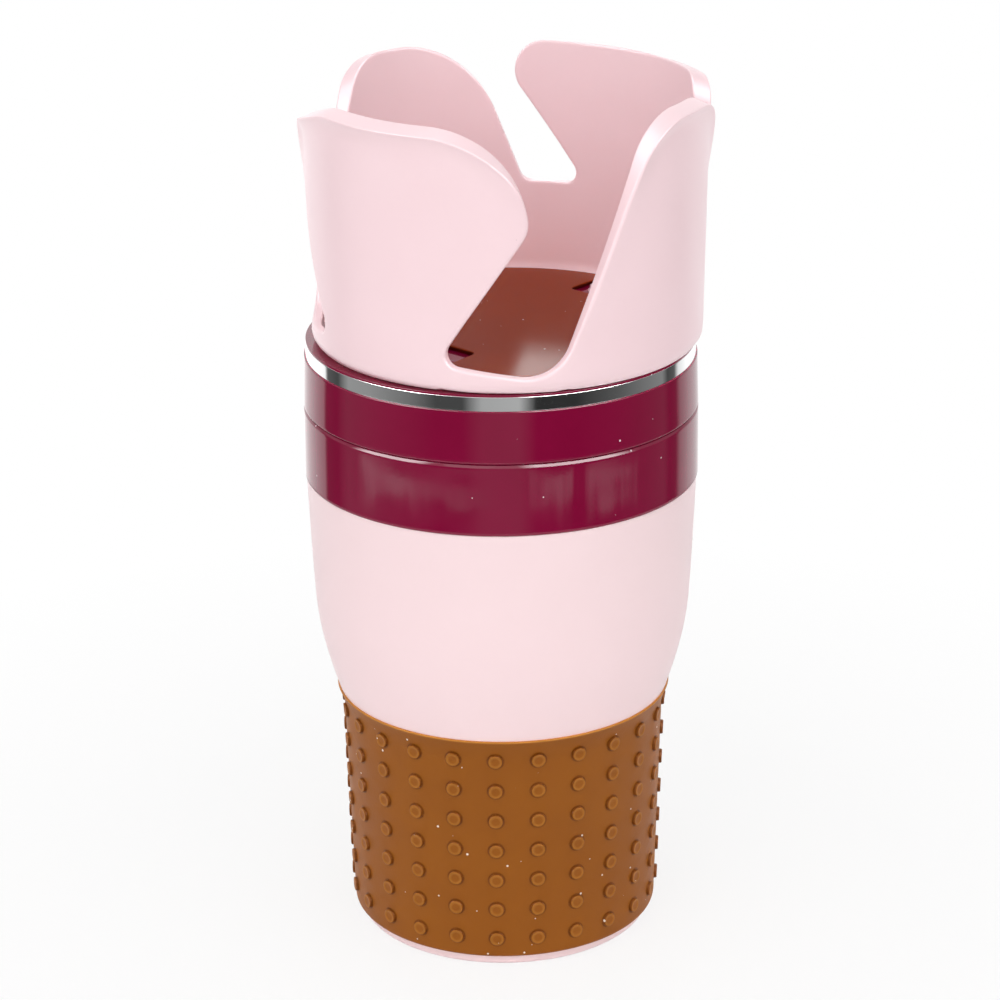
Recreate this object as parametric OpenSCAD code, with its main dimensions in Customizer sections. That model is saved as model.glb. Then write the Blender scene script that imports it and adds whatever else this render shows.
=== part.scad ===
// Stacking car cup holder: a sleeved lower cup, a collar that turns on it, and a petal cup that swings aside.
// The Z axis is the axis of the lower cup, the foot stands on Z = 0, and the swing pivot lies towards +Y.

/* [Bands] */
// Radius of the lower band
band_r = 44.2; // [42:0.1:46]
// Height of the lower band
band_h = 16.2; // [14:0.2:18]
// Thickness of the lower band's skirt
band_wall = 1.8; // [1.6:0.1:2.2]
// How far the bands' sides lean in over the height of each
band_draft = 0.1; // [0:0.05:0.3]
// Thickness of the flange that carries the turning collar
flange_t = 3; // [2.4:0.1:3.6]
// Height of the turning collar's skirt, from the lower band to the trim ring
collar_skirt_h = 11.7; // [10:0.1:14]
// How far the collar's skirt leans in from the lower band to the trim ring
collar_lean = 0.35; // [0.1:0.05:0.6]
// Thickness of the collar's skirt
collar_wall = 2.2; // [1.8:0.1:2.4]
// Thickness of the collar's deck
deck_t = 2.8; // [2.2:0.1:3.4]
// Depth of the small bevels that make the groove between the bands
groove_bevel = 0.45; // [0.3:0.05:0.7]
// Height of the trim ring
trim_h = 3.2; // [2.6:0.1:3.8]
// How far the trim ring stands back from the collar's edge
trim_back = 0.3; // [0.2:0.05:0.5]
// Thickness of the trim ring
trim_t = 0.7; // [0.5:0.1:0.9]
// Height of the deck above the trim ring
deck_rise = 0.5; // [0.3:0.1:0.8]
// Thickness of the collar's spigot
spigot_wall = 3.2; // [2.8:0.1:3.6]
// How far the retaining ring reaches under the flange
retainer_lap = 1.6; // [1.2:0.1:2]
// Thickness of the retaining ring
retainer_t = 2.5; // [2.2:0.1:3]
// Number of screws in the retaining ring
retainer_screws_n = 4; // [3:1:8]

/* [Lower cup] */
// Height of the lower cup's shoulder, where the band sits
shoulder_h = 108.4; // [96:0.2:120]
// How far the lower cup stands back under the band
band_step = 0.3; // [0.1:0.05:0.8]
// How much narrower the cup is where its belly starts to turn in
belly_draft = 1.65; // [1:0.05:2.4]
// Height over which the belly turns in to the waist
belly_turn_h = 18.5; // [14:0.5:24]
// How much narrower the waist is than the cup under its band
waist_in = 6.2; // [5:0.1:7]
// How much narrower the foot is than the waist
foot_in = 4.1; // [3.2:0.1:5.2]
// Thickness of the lower cup's wall
body_wall = 2; // [1.6:0.1:2.4]
// Thickness of the lower cup's neck inside the band
neck_wall = 1.8; // [1.5:0.1:2.2]
// Thickness of the lower cup's floor
body_floor = 2.4; // [2:0.1:4]
// Radius of the inner corner between the lower cup's wall and floor
body_corner_r = 4; // [2:0.5:6]
// Depth of the hollow under the foot
foot_hollow = 0.8; // [0.4:0.1:1.4]
// Width of the ring that the foot stands on
foot_ring_w = 4.5; // [3:0.5:7]
// Height of the rounding at the foot's edge
foot_round = 1.4; // [1:0.1:1.9]

/* [Grip sleeve] */
// Height of the sleeve's lower edge
sleeve_low = 2.7; // [2:0.1:5]
// Height at which the sleeve and the cup under it start to flare
seat_bend_h = 54.5; // [44:0.25:62]
// Height over which they flare, up to the sleeve's upper edge
sleeve_flare_h = 3; // [2:0.25:4]
// Thickness of the sleeve
sleeve_t = 1.5; // [1.2:0.1:2]
// How far the sleeve stands proud of the waist above it
sleeve_proud = 0.3; // [0.1:0.05:0.6]
// Growth of the sleeve's radius from its lower edge to where it flares
sleeve_taper = 1.55; // [1:0.05:2]
// Height of the thickened lip along the sleeve's upper edge
sleeve_lip_h = 2; // [1:0.25:3]
// How far that lip stands out
sleeve_lip = 0.35; // [0.2:0.05:0.6]
// Number of dots round the sleeve
dot_columns = 24; // [12:1:28]
// Largest number of rows of dots, of which the sleeve carries those that find room
dot_rows_most = 7; // [3:1:9]
// Height of the lowest row of dots above the sleeve's lower edge
dot_margin = 5.7; // [4:0.1:8]
// Distance between rows of dots
dot_pitch = 7.3; // [6:0.05:10]
// Plan angle of the first column of dots
dot_turn = 12.6; // [0:0.1:15]
// Diameter of a dot
dot_d = 3.5; // [2.5:0.1:4]
// Height of a dot
dot_h = 0.7; // [0.4:0.05:0.9]

/* [Petal cup] */
// Height of the petal cup
cup_h = 57.2; // [50:0.2:68]
// Outer radius of the petal cup under its lip
cup_r = 44.1; // [40:0.1:48]
// How far the petal cup stands back from the trim ring at its base
cup_back = 0.35; // [0:0.05:0.6]
// How far the lip flares out
lip_flare = 1.5; // [0.8:0.1:2.5]
// Height of the lip's flare
lip_h = 8; // [6:0.5:10]
// Height of the upright band at the lip's edge
lip_edge_h = 2.2; // [1.6:0.1:3]
// How far the lip's upper edge leans back in
lip_lean = 0.3; // [0:0.1:0.6]
// Thickness of the petal cup's wall at its top
cup_wall = 2.8; // [2.2:0.1:3.2]
// How much thinner the wall is at its base
cup_wall_draft = 0.7; // [0.2:0.1:0.9]
// Thickness of the petal cup's floor
cup_floor = 2.6; // [2.2:0.1:3.2]
// Radius of the cup's lower outer corner
cup_corner_r = 3; // [2:0.25:3.5]
// Radius of the inner corner between wall and floor
cup_inner_corner_r = 0.5; // [0.3:0.1:0.9]

/* [Petals] */
// Plan angle of the deep slots, measured round from the front
deep_angle = 42; // [40:0.5:44]
// Plan angle from the deep slots to the middle of the side petals' front edges
side_edge_turn = 33; // [31:0.5:35]
// Plan angle of the side petals' rear shoulders
rear_angle = 122; // [120:0.5:124]
// Plan angle of the back petal's edges
back_angle = 152; // [150:0.5:154]
// Radius of the front petal's shoulders
front_shoulder_r = 22; // [16:0.5:24]
// Depth below the petals' top of the front petal's widest place
bulge_drop = 21.6; // [18:0.2:26]
// Radius of the front petal's edge at its widest place
bulge_r = 7; // [5:0.5:10]
// Height of the front petal's lower corner above the deep slot's sill
foot_corner_h = 2.6; // [1.5:0.1:4]
// Radius of the deep slot's inner corner
deep_corner_r = 3; // [2:0.25:4]
// Radius of the deep slot's outer corner
sill_corner_r = 9; // [6:0.5:10]
// Radius of the side petals' front shoulders
side_shoulder_r = 13.3; // [8:0.1:15]
// Radius of the side petals' rear shoulders
rear_shoulder_r = 25; // [16:0.5:27]
// Radius of the back petal's shoulders
back_shoulder_r = 7; // [4:0.5:9]
// Radius of the shallow slot's corners
shallow_corner_r = 2.8; // [2:0.1:3.5]
// Depth of the shallow slots below the petals' top
shallow_depth = 33; // [27:0.2:38]

/* [Mat] */
// Thickness of the mat
mat_t = 1; // [0.8:0.1:1.6]
// Half the width of the mat's finger notch at its inner end
finger_half_w = 10.8; // [9:0.2:13]
// Distance of the finger notch's straight edge from the cup's axis
finger_in = 22.3; // [20:0.1:26]
// Growth of the notch's half width out to the mat's edge
finger_spread = 4.5; // [2:0.5:7]
// Room between the pivot screw's head and the sides of the mat's notch for it
pivot_notch_side = 1.5; // [0.7:0.1:2.5]
// Room between the head and the notch's straight inner edge
pivot_notch_back = 3.1; // [1.5:0.1:5]
// Radius of the notches' corners
notch_corner_r = 1.5; // [1:0.1:2.5]

/* [Swing pivot] */
// Distance from the spigot's inner face to the pivot, towards the axis
pivot_inset = 1.6; // [1.2:0.05:2]
// Radius of the pivot screw's shoulder
shoulder_r = 2.2; // [2:0.05:2.6]
// Radius of the pivot screw's threaded end
thread_r = 1.5; // [1.3:0.05:1.7]
// Radius of the pivot screw's head
head_r = 3.5; // [3.2:0.1:4]
// Height of the pivot screw's head
head_h = 1.2; // [1:0.1:1.4]
// Depth of the pocket for the head in the cup's floor
head_pocket = 0.6; // [0.3:0.1:0.8]
// Thickness of the washer under the head
washer_t = 0.4; // [0.3:0.1:0.6]
// How far the pivot screw's shoulder enters the deck
shoulder_seat = 1.2; // [0.8:0.1:1.5]
// Radius of the nut across its corners
nut_r = 3.15; // [2.7:0.05:3.4]
// Height of the nut
nut_h = 2.4; // [2:0.1:2.8]
// Thickness of the spring washer over the nut
spring_t = 0.9; // [0.6:0.1:1]
// Radius of the boss round the pivot
boss_r = 5.8; // [5.4:0.1:6.4]
// Depth of the boss below the deck
boss_h = 8; // [7:0.5:9]
// Angle by which the cup stands open at rest
swing_rest = 3.6; // [0:0.1:12]

/* [Fits] */
// Radial clearance of a turning fit
turn_gap = 0.3; // [0.2:0.05:0.4]
// Radial clearance of the pivot screw in the cup
pin_gap = 0.06; // [0.03:0.01:0.1]
// Radial clearance of pieces that are fitted and stay
seat_gap = 0.05; // [0.03:0.01:0.08]

/* [Hidden] */

// Number of sides asked for on round forms
$fn = 96;
// Length that lets a cut pass through a face
pass = 0.5;

// Heights of the stack, from the foot up
sleeve_high = seat_bend_h + sleeve_flare_h;
belly_h = sleeve_high + belly_turn_h;
band_top = shoulder_h + band_h;
collar_top = band_top + collar_skirt_h;
trim_top = collar_top + trim_h;
deck_top = trim_top + deck_rise;
cup_low = deck_top;
cup_top = cup_low + cup_h;
floor_top = cup_low + cup_floor;
mat_top = floor_top + mat_t;
flange_low = band_top - flange_t;
spigot_low = flange_low - turn_gap;
boss_low = deck_top - boss_h;

// Radii of the lower cup, from the band down
body_top_r = band_r - band_step;
belly_r = body_top_r - belly_draft;
waist_r = body_top_r - waist_in;
foot_r = waist_r - foot_in;
seat_r = foot_r + sleeve_taper;

// The neck of the lower cup, which stands inside the lower band
neck_r = band_r - band_wall - seat_gap;
neck_in_r = neck_r - neck_wall;

// The retaining ring turns inside the neck, and the spigot inside the flange that the ring reaches under
retainer_gap = 0.55;
retainer_r = neck_in_r - retainer_gap;
spigot_r = retainer_r - retainer_lap;
spigot_in_r = spigot_r - spigot_wall;
flange_r = spigot_r + turn_gap;

// Radii of the collar's top and of the trim ring on it
collar_low_r = band_r - band_draft;
collar_top_r = collar_low_r - collar_lean;
trim_r = collar_top_r - trim_back;
trim_in_r = trim_r - trim_t;
trim_seat_r = trim_in_r - seat_gap;

// Radii of the petal cup, outside and inside
cup_base_r = trim_r - cup_back;
lip_r = cup_r + lip_flare;
cup_top_in_r = cup_r - cup_wall;
cup_low_in_r = cup_base_r - cup_wall + cup_wall_draft;
mat_r = cup_low_in_r - cup_inner_corner_r - seat_gap;

// Distance of the pivot from the axis, and the mat's notch for the head of its screw
pivot_y = spigot_in_r - pivot_inset;
pivot_notch_in = pivot_y - head_r - pivot_notch_back;
pivot_notch_half_w = head_r + pivot_notch_side;

// Radius of the retaining ring's screw circle and of its screws
screw_circle_r = (spigot_in_r + spigot_r) / 2;
screw_r = 0.9;
screw_head_r = 1.5;
screw_head_h = 1;
screw_len = 7;
screw_sides = 32;

// Rows of dots that find room between the sleeve's edges
dot_low = sleeve_low + dot_margin;
dot_rows = min(dot_rows_most, 1 + floor((sleeve_high - sleeve_lip_h - dot_d / 2 - dot_low) / dot_pitch));

// Points of a circular arc about c, from angle a to angle b
function arc(c, r, a, b, n) =
    [for (i = [0:n]) [c[0] + r * cos(a + (b - a) * i / n), c[1] + r * sin(a + (b - a) * i / n)]];

// Number of straight steps in a rounded corner: small corners need fewer
function steps(r) = r < 1.5 ? 2 : r < 5 ? 3 : r < 12 ? 5 : 8;

// Direction from point a to point b, and half the angle between the two sides of corner p
function way(a, b) = [b[0] - a[0], b[1] - a[1]] / norm([b[0] - a[0], b[1] - a[1]]);
function half_angle(a, p, b) = acos(way(p, a) * way(p, b)) / 2;

// Corner p between neighbours a and b, rounded to radius r
function corner(a, p, b, r) =
    let (u = way(p, a),
         v = way(p, b),
         half = half_angle(a, p, b),
         c = [p[0], p[1]] + (u + v) / norm(u + v) * r / sin(half),
         d0 = [p[0], p[1]] + u * r / tan(half) - c,
         d1 = [p[0], p[1]] + v * r / tan(half) - c,
         a0 = atan2(d0[1], d0[0]),
         turn = atan2(d0[0] * d1[1] - d0[1] * d1[0], d0 * d1))
    arc(c, r, a0, a0 + turn, steps(r));

// Closed outline through points [x, y, radius], with each corner rounded to its radius, or to less where the
// straight side between two corners is too short for both
function rounded(pts) =
    let (n = len(pts),
         take = [for (i = [0:n - 1])
             pts[i][2] > 0 ? pts[i][2] / tan(half_angle(pts[(i + n - 1) % n], pts[i], pts[(i + 1) % n])) : 0],
         room = [for (i = [0:n - 1])
             let (j = (i + 1) % n, side = norm([pts[j][0] - pts[i][0], pts[j][1] - pts[i][1]]))
             take[i] + take[j] > side ? 0.99 * side / (take[i] + take[j]) : 1])
    [for (i = [0:n - 1])
        let (p = pts[i], a = pts[(i + n - 1) % n], b = pts[(i + 1) % n],
             r = p[2] * min(room[(i + n - 1) % n], room[i]))
        each (r > 0 ? corner(a, p, b, r) : [[p[0], p[1]]])];

// Outer radius of the lower cup above the sleeve: a straight taper, less a belly that curves in to the waist
belly_slope = belly_draft / (shoulder_h - belly_h);
waist_drop = belly_r - belly_slope * belly_turn_h - waist_r;
function belly(z) = belly_r + belly_slope * (z - belly_h)
    - waist_drop * pow(max(0, belly_h - z) / belly_turn_h, 1.4);

// How far the sleeve's seat is sunk into the waist
seat_inset = sleeve_t - sleeve_proud;

// Radius of the lower cup under the sleeve: a straight taper that flares out at its top to meet the belly
seat_slope = sleeve_taper / (seat_bend_h - sleeve_low);
seat_flare = waist_r - seat_inset - foot_r - seat_slope * (sleeve_high - sleeve_low);
function under_sleeve(z) = foot_r + seat_slope * (z - sleeve_low)
    + seat_flare * pow(max(0, z - seat_bend_h) / sleeve_flare_h, 1.3);

// Heights at which the two curves are sampled
curve_steps = 10;
flare_steps = 4;
belly_heights = [for (i = [0:curve_steps]) sleeve_high + belly_turn_h * i / curve_steps];
flare_heights = [for (i = [0:flare_steps]) seat_bend_h + sleeve_flare_h * i / flare_steps];

module lower_body() {
    color([0.99, 0.88, 0.89])
    difference() {
        rotate_extrude()
            polygon(concat(
                [[0, foot_hollow], [foot_r - foot_ring_w, foot_hollow], [foot_r - foot_ring_w, 0],
                 [foot_r - foot_round, 0]],
                arc([foot_r - foot_round, foot_round], foot_round, -45, 0, 1),
                [[foot_r, sleeve_low]],
                [for (z = flare_heights) [under_sleeve(z), z]],
                [for (z = belly_heights) [belly(z), z]],
                [[body_top_r, shoulder_h], [neck_r, shoulder_h], [neck_r, flange_low], [0, flange_low]]));
        body_cavity();
    }
}

// The room inside the lower cup, which follows its outside one wall further in
module body_cavity() {
    floor_z = foot_hollow + body_floor;
    neck_blend = 4;
    in_r = under_sleeve(floor_z + body_corner_r) - body_wall;
    rotate_extrude()
        polygon(concat(
            [[0, floor_z]],
            arc([in_r - body_corner_r, floor_z + body_corner_r], body_corner_r, -90, 0, 5),
            [for (z = flare_heights) [under_sleeve(z) - body_wall, z]],
            [for (z = belly_heights) if (z > sleeve_high) [belly(z) - body_wall, z]],
            [[neck_in_r, shoulder_h - neck_blend], [neck_in_r, flange_low + pass], [0, flange_low + pass]]));
}

// Outer radius of the sleeve at height z, without its dots
function sleeve_r(z) = under_sleeve(z) + sleeve_t;

module grip_sleeve() {
    lip_z = sleeve_high - sleeve_lip_h;
    edge = 0.4;
    color([0.6, 0.36, 0.14])
    union() {
        rotate_extrude()
            polygon(concat(
                [[foot_r + seat_gap, sleeve_low]],
                [for (z = flare_heights) [under_sleeve(z) + seat_gap, z]],
                [[sleeve_r(sleeve_high) + sleeve_lip - edge, sleeve_high],
                 [sleeve_r(sleeve_high) + sleeve_lip, sleeve_high - edge],
                 [sleeve_r(lip_z) + sleeve_lip, lip_z + edge], [sleeve_r(lip_z), lip_z]],
                lip_z > seat_bend_h ? [[sleeve_r(seat_bend_h), seat_bend_h]] : [],
                [[sleeve_r(sleeve_low + edge), sleeve_low + edge],
                 [sleeve_r(sleeve_low) - edge, sleeve_low]]));
        for (row = [0:dot_rows - 1], column = [0:dot_columns - 1])
            rotate([0, 0, dot_turn + column * 360 / dot_columns])
            sleeve_dot(dot_low + row * dot_pitch);
    }
}

// One raised dot at height z
module sleeve_dot(z) {
    translate([sleeve_r(z) - sleeve_t / 2, 0, z])
    rotate([0, 90, 0])
        cylinder(h = dot_h + sleeve_t / 2, r = dot_d / 2, $fn = 8);
}

module lower_band() {
    edge = 0.3;
    color([0.53, 0.06, 0.24])
    rotate_extrude()
        polygon([[neck_r + seat_gap, shoulder_h], [band_r - edge, shoulder_h], [band_r, shoulder_h + edge],
                 [collar_low_r, band_top - groove_bevel], [collar_low_r - groove_bevel, band_top],
                 [flange_r, band_top], [flange_r, flange_low], [neck_r + seat_gap, flange_low]]);
}

module turn_collar() {
    edge = 0.25;
    deck_edge = 0.6;
    color([0.53, 0.06, 0.24])
    difference() {
        union() {
            rotate_extrude()
                polygon([[spigot_in_r, spigot_low], [spigot_r, spigot_low], [spigot_r, deck_top - deck_t],
                         [collar_top_r - collar_wall, deck_top - deck_t],
                         [collar_low_r - collar_wall, band_top],
                         [collar_low_r - groove_bevel, band_top], [collar_low_r, band_top + groove_bevel],
                         [collar_top_r, collar_top - edge], [collar_top_r - edge, collar_top],
                         [trim_seat_r, collar_top], [trim_seat_r, deck_top - deck_edge],
                         [trim_seat_r - deck_edge, deck_top],
                         [spigot_in_r, deck_top]]);
            pivot_boss();
        }
        pivot_hole(boss_low - pass, thread_r + seat_gap, deck_top + pass);
        pivot_hole(deck_top - shoulder_seat, shoulder_r + seat_gap, deck_top + pass);
        nut_pocket();
        at_screws() translate([0, 0, spigot_low - pass])
            cylinder(h = screw_len + pass, r = screw_r + seat_gap, $fn = screw_sides);
    }
}

// Boss under the deck that takes the pivot screw, joined to the spigot by its own width
module pivot_boss() {
    intersection() {
        pivot_hole(boss_low, boss_r, deck_top);
        translate([0, 0, boss_low]) cylinder(h = boss_h, r = collar_top_r - collar_wall - turn_gap);
    }
}

// Puts children at each of the retaining ring's screws
module at_screws() {
    for (i = [0:retainer_screws_n - 1])
        rotate([0, 0, (i + 0.5) * 360 / retainer_screws_n])
        translate([screw_circle_r, 0, 0]) children();
}

// Round bar or hole on the pivot's axis, from height low to height high
module pivot_hole(low, r, high) {
    translate([0, pivot_y, low]) cylinder(h = high - low, r = r);
}

// Six-sided pocket in the boss's underside for the nut and its spring washer, with a round channel down the
// inside of the spigot by which they go in before the retaining ring is fitted
module nut_pocket() {
    translate([0, pivot_y, boss_low - pass])
        cylinder(h = nut_h + spring_t + pass, r = nut_r + seat_gap, $fn = 6);
    pivot_hole(spigot_low - pass, nut_r + turn_gap, boss_low);
}

module trim_ring() {
    low_edge = 0.2;
    top_edge = 0.45;
    color([0.8, 0.82, 0.82])
    rotate_extrude()
        polygon(concat(
            [[trim_in_r, collar_top], [trim_r - low_edge, collar_top], [trim_r, collar_top + low_edge]],
            arc([trim_r - top_edge, trim_top - top_edge], top_edge, 0, 90, 2), [[trim_in_r, trim_top]]));
}

module collar_retainer() {
    low = spigot_low - retainer_t;
    bevel = 0.6;
    color([0.25, 0.25, 0.27])
    difference() {
        rotate_extrude()
            polygon([[spigot_in_r, low], [retainer_r - bevel, low], [retainer_r, low + bevel],
                     [retainer_r, spigot_low], [spigot_in_r, spigot_low]]);
        pivot_hole(low - pass, nut_r + turn_gap, spigot_low + pass);
        at_screws() translate([0, 0, low - pass]) {
            cylinder(h = retainer_t + 2 * pass, r = screw_r + seat_gap, $fn = screw_sides);
            cylinder(h = screw_head_h + pass, r = screw_head_r + seat_gap, $fn = screw_sides);
        }
    }
}

module retainer_screws() {
    low = spigot_low - retainer_t;
    slot_w = 0.4;
    slot_depth = 0.5;
    color([0.6, 0.6, 0.62])
    at_screws() translate([0, 0, low])
        difference() {
            union() {
                cylinder(h = screw_head_h, r = screw_head_r, $fn = screw_sides);
                cylinder(h = retainer_t + screw_len - pass, r = screw_r, $fn = screw_sides);
            }
            for (turn = [0, 90])
                rotate([0, 0, turn])
                translate([-slot_w / 2, -screw_r, -pass]) cube([slot_w, 2 * screw_r, pass + slot_depth]);
        }
}

// Everything that swings is drawn closed and then turned about the pivot to where it rests
module swung() {
    translate([0, pivot_y, 0]) rotate([0, 0, swing_rest]) translate([0, -pivot_y, 0]) children();
}

module swing_cup() {
    color([0.99, 0.87, 0.885])
    swung()
    difference() {
        rotate_extrude() cup_profile();
        for (side = [0, 1])
            mirror([side, 0, 0]) {
                deep_slot();
                shallow_slot();
            }
        pivot_hole(cup_low - pass, shoulder_r + pin_gap, floor_top + pass);
        pivot_hole(floor_top - head_pocket, head_r + turn_gap, floor_top + pass);
    }
}

// Half section of the cup: a floor, a wall with a little draft, and a lip that flares outwards
module cup_profile() {
    flare_r = 9;
    lip_low_r = 1.2;
    lip_high_r = 0.9;
    lip_in_r = 0.6;
    polygon(rounded([
        [0, cup_low, 0], [cup_base_r, cup_low, cup_corner_r], [cup_r, cup_top - lip_h, flare_r],
        [lip_r, cup_top - lip_edge_h, lip_low_r], [lip_r - lip_lean, cup_top, lip_high_r],
        [cup_top_in_r, cup_top, lip_in_r], [cup_low_in_r, floor_top, cup_inner_corner_r],
        [0, floor_top, 0]]));
}

// Middle radius of the cup's wall, and how far sideways it lies at angle a from a cut's middle line
wall_mid_r = (cup_r + cup_top_in_r) / 2;
function side(a) = wall_mid_r * sin(a);

// Distances along a cut's middle line between which it passes through the wall
cut_near = cup_r / 3;
cut_far = lip_r + 10;
// Reach of the cuts to both sides, and the height at which they end
cut_side = cut_far;
cut_top = cup_top + 10;
// Height just above the petals, where their shoulder curves run out
shoulder_z = cup_top + 0.2;
// Height of the deep slots' sill and of the shallow slots' bottom
sill_z = mat_top + 0.2;
slot_z = cup_top - shallow_depth;

// Prism that cuts the wall at plan angle a, measured round from the front, with an outline of points
// [distance sideways from the cut's middle line, height, corner radius]
module wall_cut(a, outline) {
    rotate([0, 0, a])
    translate([0, -cut_near, 0])
    rotate([90, 0, 0])
        linear_extrude(height = cut_far - cut_near) polygon(rounded(outline));
}

// Deep slot down to the mat: the first cut leaves the front petal's round shoulder, the second the side
// petal's straight edge, and the slot is what the two have in common
module deep_slot() {
    intersection() {
        wall_cut(deep_angle, [
            [-cut_side, shoulder_z, 0], [side(1.2), shoulder_z, front_shoulder_r],
            [side(6.3), cup_top - bulge_drop, bulge_r],
            [side(-21.6), sill_z + foot_corner_h, deep_corner_r], [side(6.7), sill_z, 0],
            [cut_side, sill_z - pass, 0], [cut_side, cut_top, 0], [-cut_side, cut_top, 0]]);
        wall_cut(deep_angle + side_edge_turn, [
            [-cut_side, sill_z, 0], [side(-17.7), sill_z, sill_corner_r],
            [side(10.8), shoulder_z, side_shoulder_r], [cut_side, shoulder_z, 0],
            [cut_side, cut_top + pass, 0], [-cut_side, cut_top + pass, 0]]);
    }
}

// Shallow slot: the first cut leaves the back petal's leaning corner, the second the side petal's shoulder
module shallow_slot() {
    intersection() {
        wall_cut(back_angle, [
            [-cut_side, slot_z, 0], [side(12.6), slot_z, shallow_corner_r],
            [side(-20), shoulder_z, back_shoulder_r], [cut_side, shoulder_z, 0],
            [cut_side, cut_top, 0], [-cut_side, cut_top, 0]]);
        wall_cut(rear_angle, [
            [-cut_side, shoulder_z, 0], [side(4.3), shoulder_z, rear_shoulder_r],
            [side(19.8), slot_z, shallow_corner_r], [cut_side, slot_z - pass, 0],
            [cut_side, cut_top + pass, 0], [-cut_side, cut_top + pass, 0]]);
    }
}

module cup_mat() {
    out = mat_r + cup_wall;
    color([0.55, 0.27, 0.18])
    swung()
    difference() {
        translate([0, 0, floor_top]) cylinder(h = mat_t, r = mat_r);
        translate([0, 0, floor_top - pass])
        linear_extrude(height = mat_t + 2 * pass) {
            polygon(rounded([
                [-finger_half_w, -finger_in, notch_corner_r], [finger_half_w, -finger_in, notch_corner_r],
                [finger_half_w + finger_spread, -out, 0], [-finger_half_w - finger_spread, -out, 0]]));
            polygon(rounded([
                [-pivot_notch_half_w, pivot_notch_in, notch_corner_r], [-pivot_notch_half_w, out, 0],
                [pivot_notch_half_w, out, 0], [pivot_notch_half_w, pivot_notch_in, notch_corner_r]]));
        }
    }
}

module pivot_screw() {
    head_z = floor_top - head_pocket + washer_t;
    recess = 0.7;
    color([0.75, 0.76, 0.78])
    difference() {
        union() {
            pivot_hole(head_z, head_r, head_z + head_h);
            pivot_hole(deck_top - shoulder_seat, shoulder_r, head_z + head_h / 2);
            pivot_hole(boss_low, thread_r, deck_top);
        }
        for (turn = [45, 135])
            translate([0, pivot_y, head_z + head_h - recess])
            rotate([0, 0, turn])
            translate([-recess / 2, -head_r / 2, 0]) cube([recess, head_r, recess + pass]);
    }
}

module pivot_washer() {
    low = floor_top - head_pocket;
    color([0.7, 0.7, 0.72])
    difference() {
        pivot_hole(low, head_r - 2 * seat_gap, low + washer_t);
        pivot_hole(low - pass, shoulder_r + seat_gap, low + washer_t + pass);
    }
}

module pivot_spring_washer() {
    low = boss_low + nut_h;
    split_w = 0.6;
    color([0.45, 0.46, 0.48])
    difference() {
        pivot_hole(low, nut_r * cos(30) - 2 * seat_gap, low + spring_t);
        pivot_hole(low - pass, thread_r + seat_gap, low + spring_t + pass);
        translate([0, pivot_y, low - pass])
        rotate([0, 0, 15])
            translate([-split_w / 2, -nut_r, 0]) cube([split_w, nut_r, spring_t + 2 * pass]);
    }
}

module pivot_nut() {
    color([0.75, 0.62, 0.3])
    difference() {
        translate([0, pivot_y, boss_low]) cylinder(h = nut_h, r = nut_r, $fn = 6);
        pivot_hole(boss_low - pass, thread_r + seat_gap, boss_low + nut_h + pass);
    }
}

lower_body();
grip_sleeve();
lower_band();
turn_collar();
trim_ring();
collar_retainer();
retainer_screws();
swing_cup();
cup_mat();
pivot_screw();
pivot_washer();
pivot_spring_washer();
pivot_nut();
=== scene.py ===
# %% [markdown]
# # A stacking car cup holder
#
# The object is a lower cup in a dotted rubber sleeve, two glossy bands with a bright ring, and an upper cup
# with four petals that swings aside. Each part below is a surface worked out from a formula, laid into a
# mesh, and given a finish made of nodes. Lengths are thought of in millimetres and written to the meshes in
# metres.

import math

import bmesh
import bpy
import numpy as np
from mathutils import Matrix, Vector
from mathutils.geometry import delaunay_2d_cdt


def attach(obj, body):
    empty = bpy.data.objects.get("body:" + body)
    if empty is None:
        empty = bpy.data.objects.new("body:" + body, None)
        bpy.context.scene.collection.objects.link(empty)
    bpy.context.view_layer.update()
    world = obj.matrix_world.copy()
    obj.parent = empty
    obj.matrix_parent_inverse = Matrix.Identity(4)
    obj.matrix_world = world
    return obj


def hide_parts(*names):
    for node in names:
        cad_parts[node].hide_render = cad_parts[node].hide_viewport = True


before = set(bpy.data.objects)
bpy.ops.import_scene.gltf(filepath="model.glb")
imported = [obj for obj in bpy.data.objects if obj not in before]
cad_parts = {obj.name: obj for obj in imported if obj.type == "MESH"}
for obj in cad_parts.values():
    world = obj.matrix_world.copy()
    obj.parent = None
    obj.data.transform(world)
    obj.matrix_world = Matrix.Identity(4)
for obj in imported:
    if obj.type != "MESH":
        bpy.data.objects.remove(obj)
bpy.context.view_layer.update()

# %% [markdown]
# ## Heights that every piece shares
#
# The holder is a stack, so one list of heights places everything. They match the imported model, and each
# piece below starts and ends on them.

# %% Heights and radii of the stack, in millimetres
MM = 0.001
FOOT_HOLLOW = 0.8
SLEEVE_LOW, SEAT_BEND, SLEEVE_HIGH = 2.7, 54.5, 57.5
SHOULDER = 108.4
FLANGE_LOW = 121.6
BAND_TOP = 124.6
COLLAR_TOP = 136.3
TRIM_TOP = 139.5
DECK_TOP = 140.0
FLOOR_TOP = 142.6
CUP_TOP = 197.2
FOOT_R, SEAT_R, SEAT_TOP_R = 33.6, 35.15, 36.5
FLANGE_R = 38.7
TRIM_SEAT_R = 42.7
PIVOT = (0.0, 33.6)
SWING = math.radians(3.6)
SHARP_ANGLE = 40
print("stack height:", CUP_TOP, "mm")

# %% [markdown]
# ## From numbers to meshes
#
# A mesh needs points and faces. Every helper here works on whole arrays: a grid of points becomes quads, a
# pole becomes a fan, and parts of one shell are welded where their borders meet. Normals are then turned
# outwards, which is safe because each finished shell is closed.


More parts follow.
